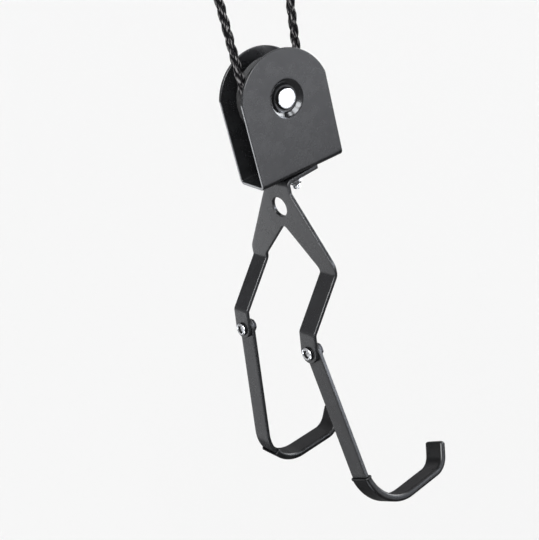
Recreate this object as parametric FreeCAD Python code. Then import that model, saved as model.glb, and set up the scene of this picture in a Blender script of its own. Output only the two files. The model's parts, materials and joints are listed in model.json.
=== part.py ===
"""Rope-hung pulley block with a pair of rubber-sleeved hooks, under its ceiling plate.

Frame: +Z is up and Z = 0 is the ceiling face. The origin is the middle of the ceiling plate's
screw holes. The pulley axle runs along Y. Lengths are millimetres and angles are degrees.
"""
import FreeCAD, Part
import math
import os

V = FreeCAD.Vector
X, Y, Z = V(1, 0, 0), V(0, 1, 0), V(0, 0, 1)
ORIGIN = V(0, 0, 0)
SIDES = {"left": 1, "right": -1}        # the left hook hangs on the +Y arm of the fork
SPARE = 2.0                              # how far a cutting or trimming shape runs past a face
RUNNING_GAP = 0.05                       # radial or face clearance between pieces that turn
FIXED_GAP = 0.02                         # clearance between pieces that stay together

# --- Ceiling plate and the two saddles that hold the rope ends ---
PLATE_LENGTH = 136.0
PLATE_WIDTH = 40.0
PLATE_THICK = 3.0
PLATE_CORNER_R = 6.0
SCREW_HOLE_R = 2.75
SCREW_SPACING_X = 121.0
SCREW_SPACING_Y = 22.0
COUNTERSINK_R = 4.4
COUNTERSINK_H = 1.4
SADDLE_X = 29.25                         # each saddle stands this far from the origin
SADDLE_THICK = 2.5
SADDLE_WIDTH = 26.0
SADDLE_DROP = 29.0                       # ceiling face to the underside of the web
SADDLE_WEB_HALF = 12.5
SADDLE_LEG_TOP = 14.0
SADDLE_FOOT_END = 27.0
SADDLE_BEND_R = 2.0
RIVET_R = 2.0
RIVET_HEAD_R = 3.6
RIVET_HEAD_H = 1.4
RIVET_X = 21.0
GROMMET_BORE_R = 3.7
GROMMET_NECK_R = 5.5
GROMMET_FLANGE_R = 7.5
GROMMET_FLANGE_H = 1.2

# --- Rope ---
ROPE_R = 3.0
ROPE_BEND_SHARE = 0.498                  # share of a run that the bend at one end may take
KNOT_R = 8.0
KNOT_H = 15.0
KNOT_EDGE_R = 4.0
# The route of the rope's middle, as (x, z): from the left knot down, round the wheel, and up.
ROPE_ROUTE = [
    (-29.7, -25.3),
    (-28.2, -132.47),
    (-19.94, -144.13),
    (-6.52, -149.05),
    (7.33, -145.51),
    (16.73, -134.74),
    (29.39, -25.3),
]

# --- Pulley block ---
AXLE_X = -5.3
AXLE_Z = -125.0
YOKE_WIDTH = 71.4
YOKE_DEPTH = 31.5                        # over the outside of both side plates
YOKE_THICK = 2.5
YOKE_ARCH_R = 37.2
YOKE_ARCH_Z = -3.0                       # middle of the arch, from the axle
YOKE_BASE_Z = -55.5                      # underside of the base, from the axle
YOKE_BEND_R = 4.0
DIMPLE_MOUTH_R = 13.4
DIMPLE_FLOOR_R = 9.4
DIMPLE_DEPTH = 2.6
AXLE_R = 5.0
AXLE_HEAD_R = 8.0
AXLE_HEAD_EDGE = 0.9
WHEEL_PITCH_R = 23.0                     # wheel centre to rope centre
WHEEL_R = 28.0
WHEEL_RIM_HALF = 6.5
WHEEL_RIM_INNER_R = 18.0
WHEEL_EDGE = 0.8
WHEEL_DRAFT = 1.5
WHEEL_WEB_HALF = 4.0
WHEEL_HUB_R = 10.5
WHEEL_HUB_HALF = 9.0
GROOVE_R = 3.3
GROOVE_MOUTH_HALF = 5.0
BUSH_R = 7.0
AXLE_WASHER_R = 9.0
AXLE_WASHER_THICK = 1.2

# --- Swivel screw under the block ---
SWIVEL_REST = 8.2                        # how far the fork is turned from the block at rest
M6_R = 3.0
M6_HOLE_R = 3.2
HEAD_R = 5.25
HEAD_H = 2.4
SOCKET_FLATS = 5.0
SOCKET_DEPTH = 1.6
SCREW_TIP = 0.8
NUT_FLATS = 10.0
NUT_EDGE = 0.7
NUT_COLLAR_SHARE = 0.25                  # share of a nut's height that is its round collar
SWIVEL_NUT_H = 6.5
SWIVEL_PROUD = 4.0                       # how far the swivel screw stands out of its nut
WASHER_R = 6.0
SWIVEL_WASHER_THICK = 1.6

# --- Fork, measured from the axle before it is turned ---
FORK_THICK = 3.0
FORK_X = -19.5                           # front face of the upper plate at its top
FORK_KNEE_X = -22.0
FORK_FOOT_END = 12.5
FORK_TOP_Z = YOKE_BASE_Z - RUNNING_GAP
FORK_HEAD_HALF = 14.2
FORK_HEAD_Z = -65.5
FORK_EYE_Z = -76.9
FORK_EYE_R = 7.5
FORK_APEX_Z = -90.8
FORK_KNEE_Z = -123.7                     # the fold at the knees
FORK_KNEE_OUTER_Z = -116.4               # corners of the outline beside the knees
FORK_KNEE_INNER_Z = -121.2
FORK_ANKLE_X = -53.8
FORK_ANKLE_Z = -156.2
ARM_OUTER_Y = 45.5
ARM_INNER_Y = 30.0
TAB_Y = 37.75
TAB_Z = -172.0
TAB_LEAN = 10.0
TAB_END_R = 7.75
FORK_HEAD_BEND_R = 5.0
FORK_BEND_R = 2.5
HEAD_CORNER_R = 3.0
KNEE_OUTER_R = 12.0
KNEE_INNER_R = 6.0
APEX_R = 4.0

# --- Hooks, measured from the pivot on the front face of their tab ---
SWING_REST = {"left": -1.6, "right": -23.0}
BAR_WIDTH = 15.5
BAR_THICK = 3.2
BAR_X = FORK_THICK + 0.5 + RUNNING_GAP   # the bar's front face, behind the tab and slip ring
BAR_STRAIGHT = 94.2                      # pivot to the start of the curve
BAR_CURVE_R = 33.2
BAR_CURVE_TURN = 93.6
BAR_SHELF = 30.0
BAR_TIP_R = 16.0
BAR_TIP_TURN = 62.0
BAR_TIP_STRAIGHT = 9.0
SLEEVE_WALL = 1.2
SLEEVE_START = {"left": 20.0, "right": 4.0}      # from the start of the curve, along it
SLEEVE_END = 2.0
SLIP_RING_THICK = 0.5
PIVOT_NUT_H = 3.4
PIVOT_PROUD = 0.6                        # how far a pivot screw stands out of its nut
PIVOT_WASHER_THICK = 1.0


def direction(degrees):
    """Unit vector in a profile plane, by its angle from straight down towards +X."""
    angle = math.radians(degrees)
    return math.sin(angle), -math.cos(angle)


def unit(a, b):
    length = math.hypot(b[0] - a[0], b[1] - a[1])
    return (b[0] - a[0]) / length, (b[1] - a[1]) / length, length


def rounded_path(points, radii, plane):
    """Straight runs joined by tangent arcs. radii holds one radius per inner point."""
    edges = []
    start = points[0]
    for before, corner, after, radius in zip(points, points[1:], points[2:], radii):
        ax, ay, _ = unit(before, corner)
        bx, by, _ = unit(corner, after)
        half = 0.5 * math.acos(max(-1.0, min(1.0, ax * bx + ay * by)))
        reach = radius * math.tan(half)
        first = (corner[0] - ax * reach, corner[1] - ay * reach)
        last = (corner[0] + bx * reach, corner[1] + by * reach)
        nx, ny = bx - ax, by - ay
        inward = (radius / math.cos(half) - radius) / math.hypot(nx, ny)
        middle = (corner[0] + nx * inward, corner[1] + ny * inward)
        if math.hypot(first[0] - start[0], first[1] - start[1]) > 1e-4:
            edges.append(Part.LineSegment(plane(*start), plane(*first)).toShape())
        edges.append(Part.Arc(plane(*first), plane(*middle), plane(*last)).toShape())
        start = last
    edges.append(Part.LineSegment(plane(*start), plane(*points[-1])).toShape())
    return edges


def shifted_path(points, radii, shift):
    """The same path moved sideways to its left by shift, with its bends kept concentric."""
    normals = [(-unit(a, b)[1], unit(a, b)[0]) for a, b in zip(points, points[1:])]
    moved = [(points[0][0] + normals[0][0] * shift, points[0][1] + normals[0][1] * shift)]
    new_radii = []
    for corner, n1, n2, radius in zip(points[1:], normals, normals[1:], radii):
        scale = shift / (1.0 + n1[0] * n2[0] + n1[1] * n2[1])
        moved.append((corner[0] + (n1[0] + n2[0]) * scale, corner[1] + (n1[1] + n2[1]) * scale))
        left_turn = n1[0] * n2[1] - n1[1] * n2[0] > 0
        new_radii.append(radius - shift if left_turn else radius + shift)
    end, n = points[-1], normals[-1]
    moved.append((end[0] + n[0] * shift, end[1] + n[1] * shift))
    return moved, new_radii


def bent_strip(points, radii, thick, plane, across, width):
    """Sheet of even thickness that follows a path on its right-hand face."""
    inner, inner_radii = shifted_path(points, radii, thick)
    near = rounded_path(points, radii, plane)
    far = rounded_path(inner, inner_radii, plane)
    caps = [
        Part.LineSegment(plane(*points[-1]), plane(*inner[-1])).toShape(),
        Part.LineSegment(plane(*inner[0]), plane(*points[0])).toShape(),
    ]
    wire = Part.Wire(Part.__sortEdges__(near + far + caps))
    solid = Part.Face(wire).extrude(across * width)
    solid.translate(across * (-width / 2))
    return solid


def rounded_outline(points, radii, plane):
    """Closed outline with one radius for each of its corners."""
    middle = tuple((a + b) / 2 for a, b in zip(points[-1], points[0]))
    edges = rounded_path([middle] + points + [middle], radii, plane)
    return Part.Face(Part.Wire(edges))


def polygon(points):
    corners = [V(*p) for p in points]
    return Part.Face(Part.makePolygon(corners + corners[:1]))


def turned(profile, axis):
    """Solid of revolution. profile is a list of (radius, along the axis)."""
    if axis is Z:
        corners = [(r, 0, a) for r, a in profile]
    elif axis is Y:
        corners = [(r, a, 0) for r, a in profile]
    else:
        corners = [(a, r, 0) for r, a in profile]
    return polygon(corners).revolve(ORIGIN, axis, 360)


def ring(inner, outer, low, high, axis):
    return turned([(inner, low), (outer, low), (outer, high), (inner, high)], axis)


def rod(radius, low, high, axis):
    return Part.makeCylinder(radius, high - low, axis * low, axis)


def hexagon(flats, low, high):
    """Hexagonal prism along X."""
    corner_r = flats / math.sqrt(3)
    angles = [math.radians(60 * k) for k in range(6)]
    corners = [(low, corner_r * math.cos(a), corner_r * math.sin(a)) for a in angles]
    return polygon(corners).extrude(X * (high - low))


def xz(u, w):
    return V(u, 0, w)


def yz(u, w):
    return V(0, u, w)


def xy(u, w):
    return V(u, w, 0)


def button_screw(length):
    """Socket button-head screw along +X, with the underside of its head at X = 0."""
    steps = [math.radians(a) for a in (0, 18, 36, 54, 72)]
    rim = HEAD_H / 4
    dome = [(HEAD_R * math.cos(a), -rim - (HEAD_H - rim) * math.sin(a)) for a in steps]
    top = dome[-1][1]
    profile = [(0, top), *reversed(dome), (HEAD_R, 0), (M6_R, 0), (M6_R, length - SCREW_TIP),
               (M6_R - SCREW_TIP, length), (0, length)]
    screw = turned(profile, X)
    return screw.cut(hexagon(SOCKET_FLATS, top - SPARE, top + SOCKET_DEPTH))


def lock_nut(start, height):
    """Hexagon nut along +X with a round locking collar at its far end."""
    end = start + height
    body_end = end - NUT_COLLAR_SHARE * height
    hexagonal = hexagon(NUT_FLATS, start, body_end)
    corner_r = NUT_FLATS / math.sqrt(3)
    flat_r = corner_r - NUT_EDGE
    limit = turned([(0, start), (flat_r, start), (corner_r, start + NUT_EDGE),
                    (corner_r, body_end - NUT_EDGE), (flat_r, body_end), (0, body_end)], X)
    collar = rod(NUT_FLATS / 2 - NUT_EDGE, body_end, end, X)
    bore = rod(M6_R + FIXED_GAP, start - SPARE, end + SPARE, X)
    return hexagonal.common(limit).fuse(collar).removeSplitter().cut(bore)


def ceiling_plate():
    a, b = PLATE_LENGTH / 2, PLATE_WIDTH / 2
    outline = rounded_outline([(-a, -b), (a, -b), (a, b), (-a, b)], [PLATE_CORNER_R] * 4, xy)
    plate = outline.extrude(Z * -PLATE_THICK)
    for x in (-SCREW_SPACING_X / 2, SCREW_SPACING_X / 2):
        for y in (-SCREW_SPACING_Y / 2, SCREW_SPACING_Y / 2):
            hole = rod(SCREW_HOLE_R, -PLATE_THICK - SPARE, SPARE, Z)
            sink_top = -PLATE_THICK + COUNTERSINK_H
            sink = turned([(0, -PLATE_THICK), (COUNTERSINK_R, -PLATE_THICK),
                           (SCREW_HOLE_R, sink_top), (0, sink_top)], Z)
            hole = hole.fuse(sink)
            hole.translate(V(x, y, 0))
            plate = plate.cut(hole)
    for x in rivet_places():
        hole = rod(RIVET_R, -PLATE_THICK - SPARE, SPARE, Z)
        hole.translate(V(x, 0, 0))
        plate = plate.cut(hole)
    return plate


def rivet_places():
    return [side * SADDLE_X + foot * RIVET_X for side in (-1, 1) for foot in (-1, 1)]


def rope_saddle(middle):
    """Hat-shaped strip: two feet under the plate and a web with the rope's hole."""
    foot_z = -PLATE_THICK - SADDLE_THICK
    path = [(-SADDLE_FOOT_END, foot_z), (-SADDLE_LEG_TOP, foot_z),
            (-SADDLE_WEB_HALF, -SADDLE_DROP), (SADDLE_WEB_HALF, -SADDLE_DROP),
            (SADDLE_LEG_TOP, foot_z), (SADDLE_FOOT_END, foot_z)]
    outer_r = SADDLE_BEND_R + SADDLE_THICK
    radii = [SADDLE_BEND_R, outer_r, outer_r, SADDLE_BEND_R]
    saddle = bent_strip(path, radii, SADDLE_THICK, xz, Y, SADDLE_WIDTH)
    web_top = -SADDLE_DROP + SADDLE_THICK
    saddle = saddle.cut(rod(GROMMET_NECK_R, -SADDLE_DROP - SPARE, web_top + SPARE, Z))
    for foot in (-RIVET_X, RIVET_X):
        hole = rod(RIVET_R, foot_z - SPARE, 0, Z)
        hole.translate(V(foot, 0, 0))
        saddle = saddle.cut(hole)
    saddle.translate(V(middle, 0, 0))
    return saddle


def saddle_rivets():
    """One solid rivet through the plate and each saddle foot, flush with the ceiling face."""
    foot_z = -PLATE_THICK - SADDLE_THICK
    rivets = []
    for x in rivet_places():
        profile = [(0, 0), (RIVET_R, 0), (RIVET_R, foot_z), (RIVET_HEAD_R, foot_z),
                   (RIVET_HEAD_R * 0.8, foot_z - RIVET_HEAD_H * 0.7), (0, foot_z - RIVET_HEAD_H)]
        rivet = turned(profile, Z)
        rivet.translate(V(x, 0, 0))
        rivets.append(rivet)
    return Part.makeCompound(rivets)


def rope_grommets():
    low, high = -SADDLE_DROP, -SADDLE_DROP + SADDLE_THICK
    profile = [(GROMMET_BORE_R, low - GROMMET_FLANGE_H), (GROMMET_FLANGE_R, low - GROMMET_FLANGE_H),
               (GROMMET_FLANGE_R, low), (GROMMET_NECK_R, low), (GROMMET_NECK_R, high),
               (GROMMET_FLANGE_R, high), (GROMMET_FLANGE_R, high + GROMMET_FLANGE_H),
               (GROMMET_BORE_R, high + GROMMET_FLANGE_H)]
    grommets = []
    for x in (-SADDLE_X, SADDLE_X):
        grommet = turned(profile, Z)
        grommet.translate(V(x, 0, 0))
        grommets.append(grommet)
    return Part.makeCompound(grommets)


def rope_tube():
    """Plain tube along the rope's route, and a printed check of its bends and its volume."""
    radii = []
    for before, corner, after in zip(ROPE_ROUTE, ROPE_ROUTE[1:], ROPE_ROUTE[2:]):
        ax, ay, run_in = unit(before, corner)
        bx, by, run_out = unit(corner, after)
        half = 0.5 * math.acos(ax * bx + ay * by)
        room = ROPE_BEND_SHARE * min(run_in, run_out)
        radii.append(min(WHEEL_PITCH_R, room / math.tan(half)))
    path = Part.Wire(rounded_path(ROPE_ROUTE, radii, xz))
    first_x, first_z, _ = unit(*ROPE_ROUTE[:2])
    circle = Part.Wire(Part.makeCircle(ROPE_R, xz(*ROPE_ROUTE[0]), xz(first_x, first_z)))
    tube = path.makePipeShell([circle], True, True)
    ratio = tube.Volume / (math.pi * ROPE_R ** 2 * path.Length)
    print("rope: length %.1f, radii %s, volume ratio %.4f"
          % (path.Length, [round(r, 1) for r in radii], ratio))
    return tube


def rope_knot(place):
    """Stopper knot as a plain rounded drum that stands on the grommet."""
    outline = [(0, 0), (KNOT_R, 0), (KNOT_R, KNOT_H), (0, KNOT_H)]
    edges = rounded_path(outline, [KNOT_EDGE_R] * 2, xz)
    edges.append(Part.LineSegment(xz(0, KNOT_H), xz(0, 0)).toShape())
    knot = Part.Face(Part.Wire(edges)).revolve(ORIGIN, Z, 360)
    knot.translate(xz(*place))
    return knot


def pulley_yoke():
    """One folded sheet: two arched side plates on a flat base, dimpled round the axle."""
    half = YOKE_DEPTH / 2
    top = YOKE_ARCH_R + SPARE
    path = [(-half, top), (-half, YOKE_BASE_Z), (half, YOKE_BASE_Z), (half, top)]
    folded = bent_strip(path, [YOKE_BEND_R] * 2, YOKE_THICK, yz, X, YOKE_WIDTH)
    side = YOKE_WIDTH / 2
    shoulder = YOKE_ARCH_Z + math.sqrt(YOKE_ARCH_R ** 2 - side ** 2)
    low = YOKE_BASE_Z - SPARE
    edges = [
        Part.Arc(xz(-side, shoulder), xz(0, YOKE_ARCH_Z + YOKE_ARCH_R), xz(side, shoulder)).toShape(),
        Part.LineSegment(xz(side, shoulder), xz(side, low)).toShape(),
        Part.LineSegment(xz(side, low), xz(-side, low)).toShape(),
        Part.LineSegment(xz(-side, low), xz(-side, shoulder)).toShape(),
    ]
    arch = Part.Face(Part.Wire(edges)).extrude(Y * (YOKE_DEPTH + 2 * SPARE))
    arch.translate(Y * (-half - SPARE))
    yoke = folded.common(arch)
    slope = YOKE_THICK * 0.6
    blank_r = DIMPLE_MOUTH_R + YOKE_THICK
    hole_r = AXLE_R + FIXED_GAP
    for way in (-1, 1):
        face, floor = way * half, way * (half - DIMPLE_DEPTH)
        back, floor_back = way * (half - YOKE_THICK), way * (half - DIMPLE_DEPTH - YOKE_THICK)
        cup = turned([(blank_r, face), (DIMPLE_MOUTH_R, face), (DIMPLE_FLOOR_R, floor),
                      (hole_r, floor), (hole_r, floor_back), (DIMPLE_FLOOR_R + slope, floor_back),
                      (DIMPLE_MOUTH_R + slope, back), (blank_r, back)], Y)
        yoke = yoke.cut(rod(blank_r, min(face, back), max(face, back), Y)).fuse(cup)
    yoke = yoke.removeSplitter()
    return yoke.cut(rod(M6_HOLE_R, YOKE_BASE_Z - SPARE, YOKE_BASE_Z + YOKE_THICK + SPARE, Z))


def axle_rivet():
    """Plain shaft with a round head standing in each dimple, flush with the side plate."""
    half = YOKE_DEPTH / 2
    floor = half - DIMPLE_DEPTH
    edge_r = AXLE_HEAD_R - AXLE_HEAD_EDGE
    edge_y = half - AXLE_HEAD_EDGE
    profile = [(0, -half), (edge_r, -half), (AXLE_HEAD_R, -edge_y), (AXLE_HEAD_R, -floor),
               (AXLE_R, -floor), (AXLE_R, floor), (AXLE_HEAD_R, floor), (AXLE_HEAD_R, edge_y),
               (edge_r, half), (0, half)]
    return turned(profile, Y)


def axle_washers():
    inner_face = YOKE_DEPTH / 2 - DIMPLE_DEPTH - YOKE_THICK
    rings = [ring(AXLE_R + RUNNING_GAP, AXLE_WASHER_R, low, low + AXLE_WASHER_THICK, Y)
             for low in (-inner_face, inner_face - AXLE_WASHER_THICK)]
    return Part.makeCompound(rings)


def pulley_wheel():
    """Grooved wheel with a raised hub."""
    half = [(WHEEL_R, WHEEL_RIM_HALF - WHEEL_EDGE), (WHEEL_R - WHEEL_EDGE, WHEEL_RIM_HALF),
            (WHEEL_RIM_INNER_R, WHEEL_RIM_HALF), (WHEEL_RIM_INNER_R - WHEEL_DRAFT, WHEEL_WEB_HALF),
            (WHEEL_HUB_R + WHEEL_DRAFT, WHEEL_WEB_HALF), (WHEEL_HUB_R, WHEEL_HUB_HALF),
            (BUSH_R, WHEEL_HUB_HALF)]
    wheel = turned(half + [(r, -a) for r, a in reversed(half)], Y)
    torus = Part.makeTorus(WHEEL_PITCH_R, GROOVE_R, ORIGIN, Y)
    reach = WHEEL_R + SPARE
    mouth = turned([(WHEEL_PITCH_R, -GROOVE_R), (reach, -GROOVE_MOUTH_HALF),
                    (reach, GROOVE_MOUTH_HALF), (WHEEL_PITCH_R, GROOVE_R)], Y)
    return wheel.cut(torus).cut(mouth)


def wheel_bush():
    return ring(AXLE_R + RUNNING_GAP, BUSH_R, -WHEEL_HUB_HALF, WHEEL_HUB_HALF, Y)


def hook_fork():
    """One bent sheet: foot under the block, eyed plate, and two joggled arms with round tabs."""
    lean_x, lean_z = direction(-TAB_LEAN)
    ankle = (FORK_ANKLE_X, FORK_ANKLE_Z)
    past_end = FORK_ANKLE_Z - TAB_Z + TAB_END_R + SPARE
    path = [(FORK_FOOT_END, FORK_TOP_Z), (FORK_X, FORK_TOP_Z), (FORK_KNEE_X, FORK_KNEE_Z), ankle,
            (ankle[0] + lean_x * past_end, ankle[1] + lean_z * past_end)]
    bends = [FORK_HEAD_BEND_R, FORK_BEND_R, FORK_BEND_R + FORK_THICK]
    sheet = bent_strip(path, bends, FORK_THICK, xz, Y, 2 * ARM_OUTER_Y)
    half = [(FORK_HEAD_HALF, FORK_TOP_Z + SPARE), (FORK_HEAD_HALF, FORK_HEAD_Z),
            (ARM_OUTER_Y, FORK_KNEE_OUTER_Z), (ARM_OUTER_Y, TAB_Z - TAB_END_R),
            (ARM_INNER_Y, TAB_Z - TAB_END_R), (ARM_INNER_Y, FORK_KNEE_INNER_Z)]
    tip_r = TAB_END_R - FIXED_GAP
    radii = [1.0, HEAD_CORNER_R, KNEE_OUTER_R, tip_r, tip_r, KNEE_INNER_R]
    apex = [(0, FORK_APEX_Z)]
    mirrored = [(-y, z) for y, z in reversed(half)]
    outline = rounded_outline(half + apex + mirrored, radii + [APEX_R] + radii[::-1], yz)
    sheet_box = sheet.BoundBox
    prism = outline.extrude(X * (sheet_box.XLength + 2 * SPARE))
    prism.translate(X * (sheet_box.XMin - SPARE))
    fork = sheet.common(prism)
    eye = rod(FORK_EYE_R, -SPARE, FORK_THICK + SPARE, X)
    eye.Placement = eye_place()
    fork = fork.cut(eye)
    screw_hole = rod(M6_R + RUNNING_GAP, FORK_TOP_Z - FORK_THICK - SPARE, FORK_TOP_Z + SPARE, Z)
    fork = fork.cut(screw_hole)
    for side in SIDES.values():
        hole = rod(M6_R + FIXED_GAP, -SPARE, FORK_THICK + SPARE, X)
        hole.Placement = tab_place(side)
        fork = fork.cut(hole)
    return fork


def eye_place():
    """Middle of the eye on the front face of the upper plate, with X pointing into the plate."""
    slope = (FORK_KNEE_X - FORK_X) / (FORK_KNEE_Z - FORK_TOP_Z)
    x = FORK_X + slope * (FORK_EYE_Z - FORK_TOP_Z)
    return FreeCAD.Placement(V(x, 0, FORK_EYE_Z), FreeCAD.Rotation(Y, math.degrees(math.atan(slope))))


def tab_place(side):
    """Pivot point on the front face of a tab, with X pointing into the tab."""
    x = FORK_ANKLE_X - (FORK_ANKLE_Z - TAB_Z) * math.tan(math.radians(TAB_LEAN))
    return FreeCAD.Placement(V(x, side * TAB_Y, TAB_Z), FreeCAD.Rotation(Y, TAB_LEAN))


def hook_path():
    """Front face of a hook bar, from its top end to its tip, with the bends' radii."""
    first = direction(BAR_CURVE_TURN)
    last = direction(BAR_CURVE_TURN + BAR_TIP_TURN)
    reach_1 = BAR_CURVE_R * math.tan(math.radians(BAR_CURVE_TURN / 2))
    reach_2 = BAR_TIP_R * math.tan(math.radians(BAR_TIP_TURN / 2))
    bottom = (BAR_X, -BAR_STRAIGHT - reach_1)
    run = reach_1 + BAR_SHELF + reach_2
    corner = (bottom[0] + first[0] * run, bottom[1] + first[1] * run)
    run = reach_2 + BAR_TIP_STRAIGHT
    tip = (corner[0] + last[0] * run, corner[1] + last[1] * run)
    return [(BAR_X, BAR_WIDTH / 2), bottom, corner, tip], [BAR_CURVE_R, BAR_TIP_R]


def hook_bar():
    points, radii = hook_path()
    bar = bent_strip(points, radii, BAR_THICK, xz, Y, BAR_WIDTH)
    half = BAR_WIDTH / 2
    box = bar.BoundBox
    end = rod(half, box.XMin, BAR_X + BAR_THICK, X)
    below = Part.makeBox(box.XLength, BAR_WIDTH, -box.ZMin, V(box.XMin, -half, box.ZMin))
    bar = bar.common(end.fuse(below))
    return bar.cut(rod(M6_R + RUNNING_GAP, 0, BAR_X + BAR_THICK + SPARE, X))


def hook_sleeve(bar, side_name):
    """Rubber sleeve round the curved part of the bar, closed over its tip."""
    points, radii = hook_path()
    end, before = points[-1], points[-2]
    ux, uz, _ = unit(before, end)
    tip = (end[0] + ux * SLEEVE_END, end[1] + uz * SLEEVE_END)
    begun = math.degrees(SLEEVE_START[side_name] / BAR_CURVE_R)
    dx, dz = direction(begun)
    start = (BAR_X + BAR_CURVE_R * (1 + dz), -BAR_STRAIGHT - BAR_CURVE_R * dx)
    reach = BAR_CURVE_R * math.tan(math.radians((BAR_CURVE_TURN - begun) / 2))
    bend = (start[0] + dx * reach, start[1] + dz * reach)
    route = [start, bend] + points[2:-1] + [tip]
    wall = SLEEVE_WALL
    outer, outer_radii = shifted_path(route, radii, -wall)
    thick = BAR_THICK + 2 * wall
    sleeve = bent_strip(outer, outer_radii, thick, xz, Y, BAR_WIDTH + 2 * wall)
    return sleeve.cut(bar)


def moved(shape, place):
    result = shape.copy()
    result.Placement = place.multiply(result.Placement)
    return result


def hook_set(side_name, fork_place):
    """The bar, sleeve, screw, nut and washers on one tab of the fork."""
    at_tab = fork_place.multiply(tab_place(SIDES[side_name]))
    swing = FreeCAD.Placement(ORIGIN, FreeCAD.Rotation(X, SWING_REST[side_name]))
    at_hook = at_tab.multiply(swing)
    bar = hook_bar()
    back = BAR_X + BAR_THICK + RUNNING_GAP
    hole_r = M6_R + FIXED_GAP
    inner_ring = ring(hole_r, WASHER_R, FORK_THICK, FORK_THICK + SLIP_RING_THICK, X)
    outer_ring = ring(hole_r, WASHER_R, back, back + PIVOT_WASHER_THICK, X)
    nut_start = back + PIVOT_WASHER_THICK
    screw_length = nut_start + PIVOT_NUT_H + PIVOT_PROUD
    return {
        side_name + "_hook_bar": moved(bar, at_hook),
        side_name + "_hook_sleeve": moved(hook_sleeve(bar, side_name), at_hook),
        side_name + "_pivot_screw": moved(button_screw(screw_length), at_tab),
        side_name + "_pivot_nut": moved(lock_nut(nut_start, PIVOT_NUT_H), at_tab),
        side_name + "_slip_ring": moved(inner_ring, at_tab),
        side_name + "_pivot_washer": moved(outer_ring, at_tab),
    }


def swivel_set(block_place):
    """The screw, washer and nut that hold the fork's foot under the block's base."""
    head_z = YOKE_BASE_Z + YOKE_THICK
    down = FreeCAD.Placement(V(0, 0, head_z), FreeCAD.Rotation(Y, 90))
    at_screw = block_place.multiply(down)
    start = YOKE_THICK + RUNNING_GAP + FORK_THICK + RUNNING_GAP
    nut_start = start + SWIVEL_WASHER_THICK
    washer = ring(M6_R + FIXED_GAP, WASHER_R, start, nut_start, X)
    length = nut_start + SWIVEL_NUT_H + SWIVEL_PROUD
    return {
        "swivel_screw": moved(button_screw(length), at_screw),
        "swivel_washer": moved(washer, at_screw),
        "swivel_nut": moved(lock_nut(nut_start, SWIVEL_NUT_H), at_screw),
    }


def build():
    block_place = FreeCAD.Placement(V(AXLE_X, 0, AXLE_Z), FreeCAD.Rotation())
    turn = FreeCAD.Placement(ORIGIN, FreeCAD.Rotation(Z, SWIVEL_REST))
    fork_place = block_place.multiply(turn)
    nodes = {
        "ceiling_plate": ceiling_plate(),
        "left_rope_saddle": rope_saddle(-SADDLE_X),
        "right_rope_saddle": rope_saddle(SADDLE_X),
        "saddle_rivets": saddle_rivets(),
        "rope_grommets": rope_grommets(),
        "pulley_rope": rope_tube(),
        "left_rope_knot": rope_knot(ROPE_ROUTE[0]),
        "right_rope_knot": rope_knot(ROPE_ROUTE[-1]),
        "pulley_yoke": moved(pulley_yoke(), block_place),
        "axle_rivet": moved(axle_rivet(), block_place),
        "axle_washers": moved(axle_washers(), block_place),
        "pulley_wheel": moved(pulley_wheel(), block_place),
        "wheel_bush": moved(wheel_bush(), block_place),
        "hook_fork": moved(hook_fork(), fork_place),
    }
    nodes.update(swivel_set(block_place))
    for side_name in SIDES:
        nodes.update(hook_set(side_name, fork_place))
    return nodes


os.makedirs("parts", exist_ok=True)
for name, shape in build().items():
    box = shape.BoundBox
    print("%-20s valid %s, solids %d, volume %.0f, z %.1f to %.1f"
          % (name, shape.isValid(), len(shape.Solids), shape.Volume, box.ZMin, box.ZMax))
    shape.exportStep("parts/" + name + ".step")
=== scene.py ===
"""Rope-hung pulley block with two rubber-sleeved hooks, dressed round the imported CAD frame.

Objects are in metres. Local shapes are worked out in millimetres and scaled by MM.
"""
import json
import math

import bmesh
import bpy
import numpy as np
from mathutils import Matrix, Vector
from mathutils.geometry import delaunay_2d_cdt


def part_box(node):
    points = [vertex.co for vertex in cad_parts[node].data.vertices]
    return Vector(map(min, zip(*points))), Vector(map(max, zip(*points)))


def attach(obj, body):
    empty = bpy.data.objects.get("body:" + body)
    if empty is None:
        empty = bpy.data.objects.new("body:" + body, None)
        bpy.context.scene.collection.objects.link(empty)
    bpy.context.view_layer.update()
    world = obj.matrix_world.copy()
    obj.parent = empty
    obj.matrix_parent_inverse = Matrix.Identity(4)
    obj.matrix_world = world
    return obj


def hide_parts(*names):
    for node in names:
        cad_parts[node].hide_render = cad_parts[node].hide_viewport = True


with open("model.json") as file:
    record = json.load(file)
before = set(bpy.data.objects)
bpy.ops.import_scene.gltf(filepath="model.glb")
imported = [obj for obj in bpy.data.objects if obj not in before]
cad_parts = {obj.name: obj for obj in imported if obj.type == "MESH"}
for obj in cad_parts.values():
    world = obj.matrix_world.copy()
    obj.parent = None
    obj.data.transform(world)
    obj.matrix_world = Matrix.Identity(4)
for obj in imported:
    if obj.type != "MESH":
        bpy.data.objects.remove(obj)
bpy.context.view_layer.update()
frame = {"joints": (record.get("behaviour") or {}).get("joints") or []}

MM = 0.001
TAU = 2 * math.pi

# --- camera
IMAGE_WIDTH = 539
FOCAL_PIXELS = 886.2
CAMERA_PLACE = (-0.31652, -0.52802, 0.03924)
CAMERA_RIGHT = (0.80691378, -0.54177523, -0.23530776)
CAMERA_DOWN = (-0.42316495, -0.25229817, -0.87021667)
CAMERA_AHEAD = (0.41209413, 0.80176382, -0.43284316)

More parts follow.
